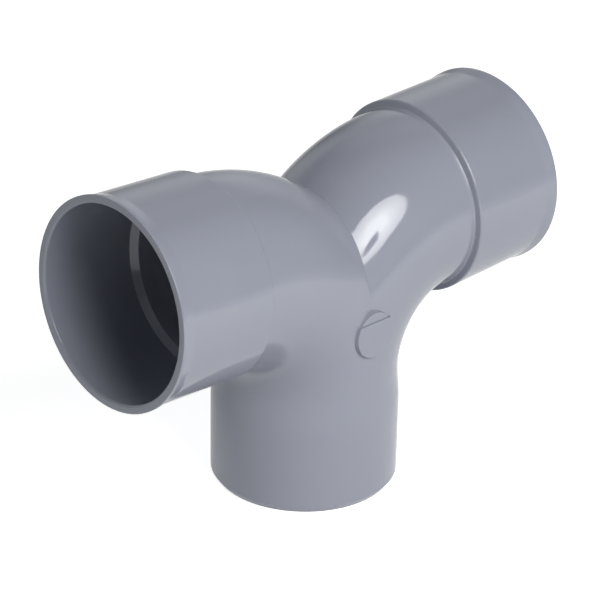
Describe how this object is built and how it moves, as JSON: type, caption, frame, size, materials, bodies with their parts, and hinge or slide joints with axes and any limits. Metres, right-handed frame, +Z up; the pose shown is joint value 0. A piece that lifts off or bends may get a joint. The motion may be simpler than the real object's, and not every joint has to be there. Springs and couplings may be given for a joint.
{
  "type": "double drain elbow",
  "caption": "Moulded plastic drain fitting: a plain pipe end splits into opposite long bends, each ending in a lipped socket for a pipe.",
  "frame": {"origin": "centre of the spigot's end face", "axes": "+Z up the spigot's axis, the arms run out along -X and +X, the round mark faces -Y"},
  "size_m": [0.2696, 0.1092, 0.1942],
  "materials": {
    "moulded_pvc": "smooth semi-gloss grey moulding"
  },
  "bodies": {
    "root": {"double_elbow": "moulded_pvc"}
  },
  "joints": []
}
